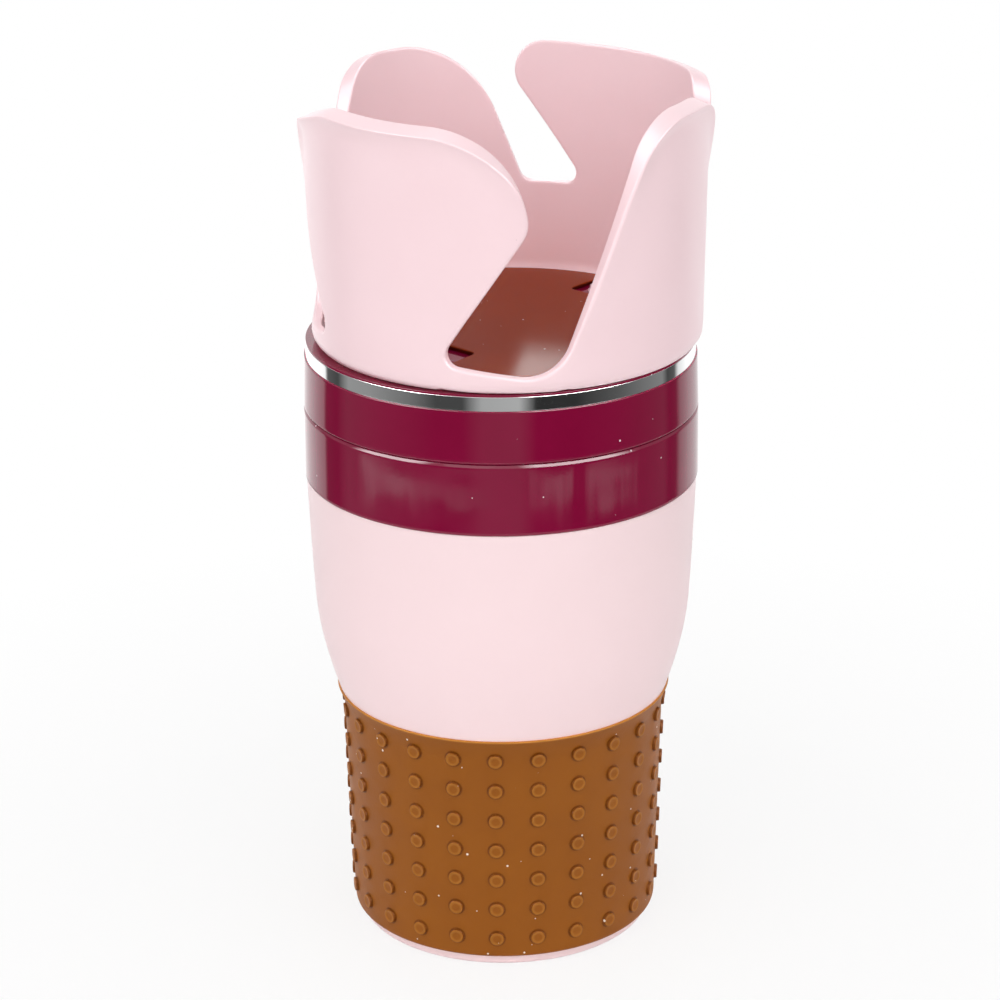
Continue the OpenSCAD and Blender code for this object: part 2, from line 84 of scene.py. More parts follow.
# %% Laying arrays into a mesh
def grid_faces(rows, columns, first=0):
    """Quads between neighbouring rows and columns of a grid, whose last column joins the first one
    again."""
    i, j = np.meshgrid(np.arange(rows - 1), np.arange(columns), indexing="ij")
    k = (j + 1) % columns
    quads = np.stack([i * columns + j, i * columns + k, (i + 1) * columns + k, (i + 1) * columns + j], -1)
    return (quads.reshape(-1, 4) + first).tolist()


def joined(parts):
    """One list of points and one of faces from several (points, faces), each part's faces shifted past the
    last."""
    points, faces, start = [], [], 0
    for part_points, part_faces in parts:
        points.append(np.asarray(part_points, float))
        faces.extend([[start + v for v in face] for face in part_faces])
        start += len(part_points)
    return np.concatenate(points), faces


def shade(mesh, sharp):
    """Smooth up to an angle, but flat on level faces, so that a wide flat top mirrors the room without a
    tilt."""
    mesh.shade_smooth()
    mesh.set_sharp_from_angle(angle=math.radians(sharp))
    normals = np.empty(3 * len(mesh.polygons))
    mesh.polygons.foreach_get("normal", normals)
    mesh.polygons.foreach_set("use_smooth", np.abs(normals[2::3]) < 0.9999)
    mesh.update()


def new_object(name, data):
    """An object in the scene that shows a mesh, a light or a camera."""
    made = bpy.data.objects.new(name, data)
    bpy.context.scene.collection.objects.link(made)
    return made


def lay_mesh(name, points, faces, sharp=SHARP_ANGLE):
    """A closed mesh object from points in millimetres: doubles welded, faces turned outwards, smooth up to
    an angle."""
    mesh = bpy.data.meshes.new(name)
    mesh.from_pydata((np.asarray(points) * MM).tolist(), [], faces)
    work = bmesh.new()
    work.from_mesh(mesh)
    bmesh.ops.remove_doubles(work, verts=work.verts, dist=2e-6)
    bmesh.ops.recalc_face_normals(work, faces=work.faces)
    open_edges = sum(1 for edge in work.edges if len(edge.link_faces) != 2)
    work.to_mesh(mesh)
    work.free()
    shade(mesh, sharp)
    piece = new_object(name, mesh)
    print(f"{name}: {len(mesh.vertices)} points, {len(mesh.polygons)} faces, {open_edges} open edges")
    return piece


# %% [markdown]
# ## Turned profiles
#
# The bands, the ring and the lower cup are turned shapes. Each is a half section, an outline of radius and
# height, carried once round the axis. Spin and Screw could do the same, but with the formula at hand every
# edge gets exactly the rounding that the real moulding shows.


# %% Outlines with rounded corners, and turning them
STEPS_PER_RADIAN = 2.2
STRAIGHT_SHARE = 1.6


def round_corners(corners, spacing=0.5, closed=True):
    """Points and directions of travel along straight lines through corners (x, y, radius), with an arc in
    each corner. An arc touches both lines at radius * tan(half the turn) from the corner."""
    corners = [np.array(c, float) for c in corners]
    count = len(corners)
    points, along = [], []
    for i in range(count):
        p, radius = corners[i][:2], corners[i][2]
        before = p - corners[i - 1][:2]
        after = corners[(i + 1) % count][:2] - p
        if not closed and i in (0, count - 1):
            way = after if i == 0 else before
            points.append(p[None])
            along.append((way / np.linalg.norm(way))[None])
        else:
            u, v = before / np.linalg.norm(before), after / np.linalg.norm(after)
            turn = math.atan2(u[0] * v[1] - u[1] * v[0], float(u @ v))
            least = max(radius / spacing, STEPS_PER_RADIAN)
            steps = 0 if radius == 0 else max(2, int(math.ceil(abs(turn) * least)))
            angle = np.linspace(0, turn, steps + 1) if steps else np.array([turn / 2])
            c, s = np.cos(angle), np.sin(angle)
            ways = np.stack([u[0] * c - u[1] * s, u[0] * s + u[1] * c], -1)
            side = math.copysign(1, turn)
            centre = p - u * radius * math.tan(abs(turn) / 2) + side * radius * np.array([-u[1], u[0]])
            arc = centre - side * radius * np.stack([-ways[:, 1], ways[:, 0]], -1)
            points.append(arc if steps else p[None])
            along.append(ways)
    if closed:
        points.append(points[0][:1])
        along.append(along[0][:1])
    full, ways = [points[0]], [along[0]]
    for k in range(1, len(points)):
        a, b = points[k - 1][-1], points[k][0]
        gap = b - a
        pieces = max(1, int(np.linalg.norm(gap) / (spacing * STRAIGHT_SHARE)))
        inner = np.linspace(0, 1, pieces + 1)[1:-1, None]
        full.append(a + gap * inner)
        ways.append(np.repeat((gap / max(np.linalg.norm(gap), 1e-9))[None], len(inner), 0))
        full.append(points[k])
        ways.append(along[k])
    full, ways = np.concatenate(full), np.concatenate(ways)
    return (full[:-1], ways[:-1]) if closed else (full, ways)


def turned(profile, steps=256, wobble=None):
    """Surface of revolution. A profile point (r, z) goes to (r cos t, r sin t, z) for each angle t. The
    profile is a closed loop, or it starts and ends on the axis, where a pole closes it. wobble(t, z) is
    added to r."""
    t = np.linspace(0, 2 * np.pi, steps, endpoint=False)
    profile = np.asarray(profile, float)
    poles = profile[0, 0] < 1e-6 and profile[-1, 0] < 1e-6
    rings = profile[1:-1] if poles else np.concatenate([profile, profile[:1]])
    r = rings[:, :1] + (wobble(t[None], rings[:, 1:]) if wobble else 0)
    points = np.stack([r * np.cos(t), r * np.sin(t), np.repeat(rings[:, 1:], steps, 1)], -1).reshape(-1, 3)
    faces = grid_faces(len(rings), steps)
    if poles:
        j = np.arange(steps)
        low, high = len(points), len(points) + 1
        points = np.concatenate([points, [[0, 0, profile[0, 1]], [0, 0, profile[-1, 1]]]])
        last = (len(rings) - 1) * steps
        faces += np.stack([np.full(steps, low), (j + 1) % steps, j], -1).tolist()
        faces += np.stack([np.full(steps, high), last + j, last + (j + 1) % steps], -1).tolist()
    return points, faces


# %% [markdown]
# ## Noise, dust and moulding marks as node groups
#
# Moulded plastic is never quite even: its gloss varies, it is a little wavy, and dust settles on it. These
# effects are wanted in several finishes, so each is a node group with named inputs and outputs. A group
# gives out only colours, masks and heights. The shader itself stays in the material.


# %% Starting a node group
def new_group(name, numbers, results):
    """An empty shader group with coordinates and numbers as inputs, and its two end nodes."""
    group = bpy.data.node_groups.new(name, "ShaderNodeTree")
    group.interface.new_socket("Coordinates", in_out="INPUT", socket_type="NodeSocketVector")
    for label in numbers:
        group.interface.new_socket(label, in_out="INPUT", socket_type="NodeSocketFloat")
    for label in results:
        group.interface.new_socket(label, in_out="OUTPUT", socket_type="NodeSocketFloat")
    return group, group.nodes.new("NodeGroupInput"), group.nodes.new("NodeGroupOutput")


def add_node(tree, kind, inputs=None, **settings):
    """A node with its settings, and with each input linked, where it is given a socket, or set to a plain
    value."""
    node = tree.nodes.new(kind)
    for key, value in settings.items():
        setattr(node, key, value)
    for key, value in (inputs or {}).items():
        if isinstance(value, bpy.types.NodeSocket):
            tree.links.new(value, node.inputs[key])
        else:
            node.inputs[key].default_value = value
    return node


def math_node(tree, operation, a, b):
    """The output of a Math node. a and b are sockets or plain numbers."""
    return add_node(tree, "ShaderNodeMath", {0: a, 1: b}, operation=operation).outputs[0]


def noise(tree, at, scale, detail):
    """A noise of about 0 to 1 over the vector at. The scale is a socket or a plain number."""
    return add_node(tree, "ShaderNodeTexNoise", {"Vector": at, "Scale": scale, "Detail": detail}).outputs[0]


# %% The shared effects
def moulding_group():
    """Moulded surface: slow waves, a fine grain, and patches of uneven gloss, all from noise on object
    coordinates."""
    group, start, end = new_group("moulded surface",
                                  ["Wave Scale", "Grain Scale", "Grain Amount", "Gloss Low", "Gloss High"],
                                  ["Height", "Roughness", "Patches"])
    given = start.outputs
    waves = noise(group, given["Coordinates"], given["Wave Scale"], 1.0)
    grain = noise(group, given["Coordinates"], given["Grain Scale"], 2.0)
    patches = noise(group, given["Coordinates"], 75.0, 4.0)
    fine = math_node(group, "MULTIPLY", grain, given["Grain Amount"])
    gloss = add_node(group, "ShaderNodeMapRange",
                     {"Value": patches, "From Min": 0.3, "From Max": 0.7, "To Min": given["Gloss Low"],
                      "To Max": given["Gloss High"]})
    group.links.new(math_node(group, "ADD", waves, fine), end.inputs["Height"])
    group.links.new(gloss.outputs[0], end.inputs["Roughness"])
    group.links.new(patches, end.inputs["Patches"])
    return group


def dust_group():
    """Dust: a mask of small specks, one in some cells of a Voronoi pattern, the brightest cells with the
    largest."""
    group, start, end = new_group("dust specks", ["Scale", "Size", "Share"], ["Mask"])
    given = start.outputs
    cells = add_node(group, "ShaderNodeTexVoronoi",
                     {"Vector": given["Coordinates"], "Scale": given["Scale"]})
    pick = add_node(group, "ShaderNodeSeparateColor", {"Color": cells.outputs["Color"]})
    size = math_node(group, "MULTIPLY", given["Size"], pick.outputs["Green"])
    near = math_node(group, "LESS_THAN", cells.outputs["Distance"], size)
    chosen = math_node(group, "LESS_THAN", pick.outputs["Red"], given["Share"])
    group.links.new(math_node(group, "MULTIPLY", near, chosen), end.inputs["Mask"])
    return group


MOULDING = moulding_group()
DUST = dust_group()
print("groups:", MOULDING.name, "and", DUST.name)


# %% [markdown]
# ## Finishes
#
# Each finish starts as a Principled shader with its constant values typed straight into the sockets, and
# the parts that vary over the surface come from the groups above. Colours are linear. They were chosen
# against the photograph: a warm pale pink, a deep magenta, a caramel brown rubber and a darker brown one.


# %% A new finish, and the parts all of them need
def new_finish(name, colour, **sockets):
    """A Principled material: returns it, its tree, its shader and the object coordinates."""
    finish = bpy.data.materials.new(name)
    finish.use_nodes = True
    tree = finish.node_tree
    shader = tree.nodes["Principled BSDF"]
    shader.inputs["Base Color"].default_value = (*colour, 1)
    for key, value in sockets.items():
        shader.inputs[key].default_value = value
    where = tree.nodes.new("ShaderNodeTexCoord").outputs["Object"]
    return finish, tree, shader, where


def add_moulding(tree, shader, where, gloss, bump, grain):
    """Feeds the moulded surface's gloss and height to a shader, and returns its patches as a mask."""
    node = add_node(tree, "ShaderNodeGroup",
                    {"Coordinates": where, "Gloss Low": gloss[0], "Gloss High": gloss[1],
                     "Wave Scale": grain[0], "Grain Scale": grain[1], "Grain Amount": grain[2]},
                    node_tree=MOULDING)
    uneven = add_node(tree, "ShaderNodeBump",
                      {"Strength": bump[0], "Distance": bump[1], "Height": node.outputs["Height"]})
    tree.links.new(node.outputs["Roughness"], shader.inputs["Roughness"])
    tree.links.new(uneven.outputs[0], shader.inputs["Normal"])
    return node.outputs["Patches"]


def blend(tree, factor, low, high):
    """A colour from low, which is a socket or a plain colour, to high, as factor goes from 0 to 1."""
    if isinstance(low, tuple):
        low = (*low, 1)
    inputs = {"Factor": factor, "A": low, "B": (*high, 1)}
    return add_node(tree, "ShaderNodeMix", inputs, data_type="RGBA").outputs["Result"]


def between(tree, value, start, end):
    """0 where a value is at start and 1 where it is at end, and even steps between them."""
    inputs = {"Value": value, "From Min": start, "From Max": end}
    return add_node(tree, "ShaderNodeMapRange", inputs).outputs[0]


def upright(tree, vector):
    """The Z part of a vector."""
    return add_node(tree, "ShaderNodeSeparateXYZ", {0: vector}).outputs["Z"]


def dusted(tree, where, colour, dust_colour, scale, size, share):
    """colour with specks of dust_colour on it."""
    inputs = {"Coordinates": where, "Scale": scale, "Size": size, "Share": share}
    specks = add_node(tree, "ShaderNodeGroup", inputs, node_tree=DUST)
    return blend(tree, specks.outputs["Mask"], colour, dust_colour)


# %% The finishes
def moulded(name, tints, gloss, ior, bump, grain, dust, painted_shade_edge=None, painted_light=None):
    """Plastic or rubber: its colour drifts between two tints and its roughness between the two of gloss.
    The bump is (strength, distance), its grain (wave scale, grain scale, grain amount) and the dust
    (colour, scale, size, share). The edge colour, where given, is painted shade on upright faces, and the
    painted-light function, where given, paints shade and highlights into the colour further."""
    finish, tree, shader, where = new_finish(name, tints[1], IOR=ior)
    colour = blend(tree, add_moulding(tree, shader, where, gloss, bump, grain), *tints)
    if painted_shade_edge:
        normal = tree.nodes.new("ShaderNodeTexCoord").outputs["Normal"]
        # Painted shade: the more upright a face, the more of the darker edge colour it takes.
        colour = blend(tree, between(tree, upright(tree, normal), 0.75, 0.3), colour, painted_shade_edge)
    # Painted light, where given: shade and highlights painted into the colour.
    if painted_light:
        colour = painted_light(tree, where, colour)
    tree.links.new(dusted(tree, where, colour, *dust), shader.inputs["Base Color"])
    return finish


def paint_dot_shade_and_highlights(tree, where, colour):
    """Painted shade in dark brown round each dot's foot, and painted highlights: a paler rim on each dot
    and a paler line on the sleeve's top edge.
    """
    away = add_node(tree, "ShaderNodeAttribute", attribute_name="dot distance").outputs["Fac"]
    # Masks: painted shade round each dot's foot, and a painted highlight on its rim and on the sleeve's top
    # edge.
    foot = math_node(tree, "MULTIPLY", between(tree, away, 2.15, 1.8), between(tree, away, 1.53, 1.65))
    rim = math_node(tree, "MULTIPLY", between(tree, away, 1.57, 1.45), between(tree, away, 0.8, 1.17))
    top = between(tree, upright(tree, where), 0.0569, 0.05725)
    # Darker brown paints the shade, and paler browns paint the highlights.
    for mask, strength, paint in ((foot, 0.75, (0.13, 0.034, 0.002)), (rim, 0.6, (0.38, 0.145, 0.018)),
                                  (top, 0.8, (0.55, 0.22, 0.035))):
        colour = blend(tree, math_node(tree, "MULTIPLY", mask, strength), colour, paint)
    return colour


def plated(name, colour, gloss, wave_scale):
    """Plated metal: full metallic, with a slow wave that makes its reflections wander."""
    finish, tree, shader, where = new_finish(name, colour, Metallic=1.0)
    add_moulding(tree, shader, where, gloss, (0.3, 0.0003), (wave_scale, 1200.0, 0.02))
    return finish


SATIN = {"ior": 1.46, "bump": (0.25, 0.0004), "grain": (30.0, 3000.0, 0.06),
         "dust": ((0.55, 0.42, 0.42), 260.0, 0.05, 0.02)}
RUBBER_BUMP, RUBBER_GRAIN = (0.3, 0.0004), (90.0, 1800.0, 0.25)
RUBBER_DUST = ((0.85, 0.76, 0.66), 330.0, 0.1)
PINK = moulded("pink satin plastic", ((0.925, 0.715, 0.735), (0.945, 0.74, 0.76)), (0.3, 0.42), **SATIN)
CUP_PINK = moulded("petal pink plastic", ((0.94, 0.7, 0.735), (0.955, 0.725, 0.76)), (0.28, 0.4), **SATIN)
MAGENTA = moulded("magenta gloss plastic", ((0.19, 0.002, 0.03), (0.225, 0.003, 0.038)), (0.03, 0.07), 1.48,
                  (0.3, 0.0003), (55.0, 1500.0, 0.01), ((0.8, 0.66, 0.7), 300.0, 0.08, 0.16))
# The sleeve's finish paints shade round the dots' feet, and highlights on their rims and on its top edge.
SLEEVE_BROWN = moulded("caramel rubber", ((0.25, 0.071, 0.003), (0.283, 0.087, 0.004)), (0.38, 0.5), 1.28,
                       RUBBER_BUMP, RUBBER_GRAIN, (*RUBBER_DUST, 0.8), painted_light=paint_dot_shade_and_highlights)
# The mat's finish paints shade on its upright edges in a darker brown.
MAT_BROWN = moulded("brown mat rubber", ((0.225, 0.029, 0.001), (0.245, 0.034, 0.002)), (0.13, 0.16), 1.13,
                    (0.03, 0.0004), RUBBER_GRAIN, (*RUBBER_DUST, 0.7), painted_shade_edge=(0.06, 0.006, 0.002))
BRIGHT = plated("bright plating", (0.92, 0.93, 0.93), (0.02, 0.06), 60.0)
STEEL = plated("zinc plated steel", (0.55, 0.56, 0.58), (0.28, 0.42), 400.0)
BRASS = plated("turned brass", (0.62, 0.45, 0.18), (0.25, 0.4), 400.0)
HIDDEN = moulded("plain dark plastic", ((0.018, 0.018, 0.02), (0.03, 0.03, 0.034)), (0.4, 0.55), 1.45,
                 RUBBER_BUMP, RUBBER_GRAIN, (*RUBBER_DUST, 0.02))
print("finishes:", len(bpy.data.materials))


def dress(piece, finish, body, slot, *nodes):
    """Gives a new piece its finish and its body, and hides the nodes that it stands for. The slot is not
    used.
    """
    piece.data.materials.append(finish)
    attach(piece, body)
    if nodes:
        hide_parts(*nodes)
    return piece


# %% [markdown]
# ## The lower cup
#
# A pink cup that tapers to a foot. Its belly turns in softly above the sleeve, so a smooth curve runs
# through a few heights read off the photograph. A Hermite spline does that: each stretch leaves a point in
# the direction of its neighbours, so no band of light breaks on the belly.


# %% A smooth curve through chosen heights
def through(heights, radii, z):
    """Cubic Hermite curve: radius at each z, through the given points, with slopes from the neighbours on
    both sides."""
    heights, radii = np.asarray(heights, float), np.asarray(radii, float)
    slope = np.gradient(radii, heights)
    i = np.clip(np.searchsorted(heights, z) - 1, 0, len(heights) - 2)
    step = heights[i + 1] - heights[i]
    t = (z - heights[i]) / step
    return ((2 * t**3 - 3 * t**2 + 1) * radii[i] + (t**3 - 2 * t**2 + t) * step * slope[i]
            + (3 * t**2 - 2 * t**3) * radii[i + 1] + (t**3 - t**2) * step * slope[i + 1])


def seat_radius(z):
    """Radius of the lower cup under the sleeve: a straight taper that flares out over its last 3 mm."""
    taper = (SEAT_R - FOOT_R) / (SEAT_BEND - SLEEVE_LOW)
    flare = SEAT_TOP_R - FOOT_R - taper * (SLEEVE_HIGH - SLEEVE_LOW)
    return FOOT_R + taper * (z - SLEEVE_LOW) + flare * (np.maximum(z - SEAT_BEND, 0) / 3.0) ** 1.3


NECK_R, NECK_IN_R, WALL = 42.35, 40.55, 2
BELLY_Z = [57.5, 61.9, 66.9, 71.9, 77.0, 84.0, 91.6, 100.0, 108.4]
BELLY_R = [37.7, 39.12, 40.5, 41.6, 42.33, 42.82, 43.2, 43.57, 43.9]
belly_z = np.linspace(SLEEVE_HIGH, SHOULDER - 0.4, 60)
seat_z = np.concatenate([[SLEEVE_LOW, 20, 40], np.linspace(SEAT_BEND, SLEEVE_HIGH, 7)])
outside = np.concatenate([
    np.stack([seat_radius(seat_z), seat_z], -1),
    np.stack([through(BELLY_Z, BELLY_R, belly_z), belly_z], -1)])
foot, _ = round_corners(
    [(0, FOOT_HOLLOW, 0), (28.6, FOOT_HOLLOW, 0.3), (29.2, 0, 0.5), (33.55, 0, 1.3),
     (FOOT_R, SLEEVE_LOW, 0)], 0.3, closed=False)
neck, _ = round_corners(
    [(43.9, SHOULDER - 0.35, 0), (43.86, SHOULDER, 0.25), (NECK_R, SHOULDER, 0), (NECK_R, FLANGE_LOW, 0.3),
     (NECK_IN_R, FLANGE_LOW, 0.3), (NECK_IN_R, SHOULDER - 4, 2), (41.5, 100, 4)], 0.4, closed=False)
inner_z = np.linspace(98, 60, 24)
inside_wall = np.stack([through(BELLY_Z, BELLY_R, inner_z) - WALL, inner_z], -1)
well, _ = round_corners([(35.8, 58, 0), (33.2, 54, 3), (31.62, 3.2, 4), (0, 3.2, 0)], 0.6, closed=False)
points, faces = turned(np.concatenate([foot, outside[1:], neck[1:], inside_wall, well]), 240)
dress(lay_mesh("lower_cup", points, faces), PINK, "base", "pink_shell", "lower_body")

# %% [markdown]
# ## The two bands and the bright ring
#
# Both bands are mouldings with a high gloss, parted by a fine groove with soft edges. The ring over them is
# thin plated metal, a little uneven, as pressed rings are. Its wobble is a sum of a few slow waves round
# the axis, and it shows as reflections that wander.


# %% The lower band
lower_profile, _ = round_corners(
    [(42.4, SHOULDER, 0), (44.2, SHOULDER, 0.35), (44.1, BAND_TOP - 0.75, 0.15), (43.8, BAND_TOP - 0.2, 0.1),
     (43.3, BAND_TOP, 0.1), (FLANGE_R, BAND_TOP, 0.2), (FLANGE_R, FLANGE_LOW, 0.2), (42.4, FLANGE_LOW, 0)],
    0.25)
points, faces = turned(lower_profile, 256,
                       lambda t, z: 0.012 * np.sin(3 * t + 0.4) + 0.006 * np.sin(7 * t + z / 5))
dress(lay_mesh("lower_magenta_band", points, faces), MAGENTA, "base", "magenta_shell", "lower_band")

# %% [markdown]
# The upper band is one moulding with the deck that the petal cup swings over. Inside it stands a boss for
# the pivot, with a bore, a seat for the screw's shoulder and a pocket for the nut, and four blind holes
# take the screws from below. Those are round shapes that meet a ring, which is what Boolean modifiers are
# good at: each is a closed shape of its own, joined or cut, and the result is kept as the mesh.


# %% Joining and cutting round shapes
def post(radius, low, high, place=PIVOT, steps=48):
    """An upright cylinder at a place: a disc's half section, turned and moved. Six steps make a hexagon."""
    points, faces = turned([(0, low), (radius, low), (radius, high), (0, high)], steps)
    return points + [*place, 0.0], faces


def carved(piece, shapes):
    """The piece with closed shapes joined (UNION) or cut (DIFFERENCE), its mesh replaced by the evaluated
    result."""
    tools = []
    for operation, (points, faces) in shapes:
        tool = lay_mesh("carving_tool", points, faces)
        modifier = piece.modifiers.new("carve", "BOOLEAN")
        modifier.operation = operation
        modifier.solver = "EXACT"
        modifier.object = tool
        tools.append(tool)
    evaluated = piece.evaluated_get(bpy.context.evaluated_depsgraph_get())
    mesh = bpy.data.meshes.new_from_object(evaluated)
    piece.modifiers.clear()
    piece.data = mesh
    shade(mesh, SHARP_ANGLE)
    for tool in tools:
        bpy.data.objects.remove(tool)
    print(f"{piece.name}: carved into {len(mesh.polygons)} faces")
    return piece


# %% The upper band
SPIGOT_LOW, SPIGOT_IN_R, SPIGOT_R = 121.3, 35.2, 38.4
DECK_UNDER, LIP_R = 137.2, 43.35
upper_profile, _ = round_corners(
    [(SPIGOT_IN_R, SPIGOT_LOW, 0.2), (SPIGOT_R, SPIGOT_LOW, 0.2), (SPIGOT_R, DECK_UNDER, 0.3),
     (41.55, DECK_UNDER, 0.3), (41.9, BAND_TOP, 0.2), (44.1, BAND_TOP, 0.45), (43.75, COLLAR_TOP, 0.1),
     (TRIM_SEAT_R, COLLAR_TOP, 0), (TRIM_SEAT_R, TRIM_TOP, 0), (LIP_R, TRIM_TOP, 0.05),
     (LIP_R, DECK_TOP, 0.08), (SPIGOT_IN_R, DECK_TOP, 0.4)], 0.25)
points, faces = turned(upper_profile, 256,
                       lambda t, z: 0.01 * np.sin(2 * t + 1.1) + 0.006 * np.sin(5 * t + z / 4))
BELOW_ALL, OVER_DECK = 120, 141
boss = post(5.8, 132, DECK_TOP, steps=64)
bore, screw_seat = post(1.55, BELOW_ALL, OVER_DECK), post(2.25, 138.8, OVER_DECK)
nut_pocket, nut_well = post(3.2, BELOW_ALL, 135.3, steps=6), post(3.45, BELOW_ALL, 132)
cuts = [bore, screw_seat, nut_pocket, nut_well]
for quarter_turn in range(4):
    a = math.pi / 4 + quarter_turn * math.pi / 2
    cuts.append(post(0.95, 120.8, 128.3, (36.8 * math.cos(a), 36.8 * math.sin(a)), 24))
shapes = [("UNION", boss)] + [("DIFFERENCE", cut) for cut in cuts]
upper_band = carved(lay_mesh("upper_magenta_band", points, faces), shapes)
dress(upper_band, MAGENTA, "collar", "magenta_shell", "turn_collar")

# %% The bright ring
TRIM_IN_R = 42.75
trim_profile, _ = round_corners(
    [(TRIM_IN_R, COLLAR_TOP, 0), (43.46, COLLAR_TOP, 0.12), (43.38, TRIM_TOP, 0.06),
     (TRIM_IN_R, TRIM_TOP, 0.05)], 0.1)
points, faces = turned(trim_profile, 320,
                       lambda t, z: 0.02 * np.sin(2 * t) + 0.012 * np.sin(9 * t) * (z - COLLAR_TOP) / 3)
dress(lay_mesh("bright_trim_ring", points, faces), BRIGHT, "collar", "bright_trim", "trim_ring")

# %% [markdown]
# ## The dotted sleeve
#
# A thin rubber sleeve with 24 columns and 7 rows of raised dots. Scattering 168 loose discs on it would
# leave open borders, so each dot gets a cell of its own: a square of the sleeve whose border points slide
# inwards, ring by ring, onto a circle and up over the dot to its middle. Neighbouring cells share their
# border points, so the whole sleeve welds into one closed skin.

# %% One cell of the sleeve
DOT_COLUMNS, DOT_ROWS, DOT_LOW, DOT_PITCH = 24, 7, 7.6, 7.43
DOT_TURN = math.radians(12.6)
DOTS_END, FLARE_LOW, FLARE_HEIGHT = 55.1, 52.0, 5.5
RUBBER = 1.5
SIDE = 6
RING_R = np.array([2.05, 1.68, 1.64, 1.59, 1.45, 1.23, 0.9, 0.45])
RING_H = np.array([-0.04, -0.02, 0.36, 0.54, 0.63, 0.59, 0.52, 0.51])


def sleeve_radius(z):
    """Radius of the sleeve between its dots: the cup under it plus the rubber, with a flare over the last
    5.5 mm."""
    flare = 1.6 * (np.maximum(z - FLARE_LOW, 0) / FLARE_HEIGHT) ** 1.7
    return seat_radius(np.minimum(z, SEAT_BEND)) + RUBBER + flare


def dot_cell(width, low, high):
    """Points of one cell as (across, up, height), its centre at 0: a border rectangle, then rings of radius
    RING_R and height RING_H, then the middle point. A ring point lies in the direction of its border
    point."""
    step = np.arange(SIDE) / SIDE
    left, right = -width / 2, width / 2
    border = np.concatenate([
        np.stack([left + step * width, np.full(SIDE, low)], -1),
        np.stack([np.full(SIDE, right), low + step * (high - low)], -1),
        np.stack([right - step * width, np.full(SIDE, high)], -1),
        np.stack([np.full(SIDE, left), high - step * (high - low)], -1)])
    way = border / np.linalg.norm(border, axis=1, keepdims=True)
    rings = way[None] * RING_R[:, None, None]
    flat = np.concatenate([border[None], rings])
    height = np.concatenate([[0.0], RING_H])[:, None] * np.ones(4 * SIDE)
    points = np.concatenate([flat, height[..., None]], -1).reshape(-1, 3)
    return np.concatenate([points, [[0, 0, RING_H[-1]]]])


def cell_faces():
    """Faces of one cell: quads between its rings and a fan round the middle point."""
    around = 4 * SIDE
    faces = grid_faces(len(RING_R) + 1, around)
    last = len(RING_R) * around
    j = np.arange(around)
    return faces + np.stack([last + j, last + (j + 1) % around, np.full(around, last + around)], -1).tolist()


# %% The whole sleeve
def sleeve_parts():
    """The dotted outside from all cells, and the plain rest of the sleeve as one turned strip round its
    edges."""
    columns = DOT_COLUMNS * SIDE
    borders = DOT_LOW + DOT_PITCH * (np.arange(DOT_ROWS + 1) - 0.5)
    borders[-1] = DOTS_END
    parts = []
    faces = cell_faces()
    for row in range(DOT_ROWS):
        middle = DOT_LOW + row * DOT_PITCH
        width = 2 * np.pi * float(sleeve_radius(middle)) / DOT_COLUMNS
        cell = dot_cell(width, borders[row] - middle, borders[row + 1] - middle)
        turn = DOT_TURN + 2 * np.pi * np.arange(DOT_COLUMNS) / DOT_COLUMNS
        angle = turn[:, None] + 2 * np.pi / DOT_COLUMNS * cell[None, :, 0] / width
        z = np.broadcast_to(middle + cell[None, :, 1], angle.shape)
        r = sleeve_radius(z) + cell[None, :, 2]
        points = np.stack([r * np.cos(angle), r * np.sin(angle), z], -1)
        for k in range(DOT_COLUMNS):
            parts.append((points[k], faces))
    rise = np.linspace(DOTS_END, SLEEVE_HIGH - 0.3, 6)
    flare = [(float(sleeve_radius(z)), float(z), 0) for z in rise]
    top, _ = round_corners(
        flare + [(float(sleeve_radius(SLEEVE_HIGH)), SLEEVE_HIGH, 0.28), (36.9, SLEEVE_HIGH, 0.2),
                 (35.1, SEAT_BEND, 2), (33.65, SLEEVE_LOW, 0.2), (35.0, SLEEVE_LOW, 0.7),
                 (float(sleeve_radius(borders[0])), float(borders[0]), 0)], 0.3, closed=False)
    t = DOT_TURN - np.pi / DOT_COLUMNS + 2 * np.pi * np.arange(columns) / columns
    strip = np.stack([top[:, :1] * np.cos(t), top[:, :1] * np.sin(t), np.repeat(top[:, 1:], columns, 1)], -1)
    parts.append((strip.reshape(-1, 3), grid_faces(len(top), columns)))
    return joined(parts)


def mark_dots(piece):
    """Stores on each point its distance from the middle of the nearest dot, in millimetres, for the finish
    to read when it paints shade round the dots' feet and highlights on their rims."""
    mesh = piece.data
    places = np.empty(3 * len(mesh.vertices))
    mesh.vertices.foreach_get("co", places)
    x, y, z = places.reshape(-1, 3).T / MM
    column = (np.arctan2(y, x) - DOT_TURN) / (2 * np.pi / DOT_COLUMNS)
    across = (column - np.round(column)) * 2 * np.pi / DOT_COLUMNS * np.hypot(x, y)
    row = np.clip(np.round((z - DOT_LOW) / DOT_PITCH), 0, DOT_ROWS - 1)
    away = np.hypot(across, z - DOT_LOW - row * DOT_PITCH)
    mesh.attributes.new("dot distance", "FLOAT", "POINT").data.foreach_set("value", away)


points, faces = sleeve_parts()
sleeve = lay_mesh("dotted_sleeve", points, faces, 60)
mark_dots(sleeve)
dress(sleeve, SLEEVE_BROWN, "base", "sleeve_rubber", "grip_sleeve")

# %% [markdown]
# ## The petal cup: its outline
#
# The upper cup's wall is cut into four petals by two deep and two shallow slots. Seen unrolled, that is one
# outline over the way round the wall and the height. Each side is given as corners with radii, read off the
# photograph. The left side mirrors the right one but for a few corners, which the photograph shows at its
# borders. The lip follows this outline: the wall flares outwards along it, and its cut face is rounded on
# the outer edge and crisp on the inner one.

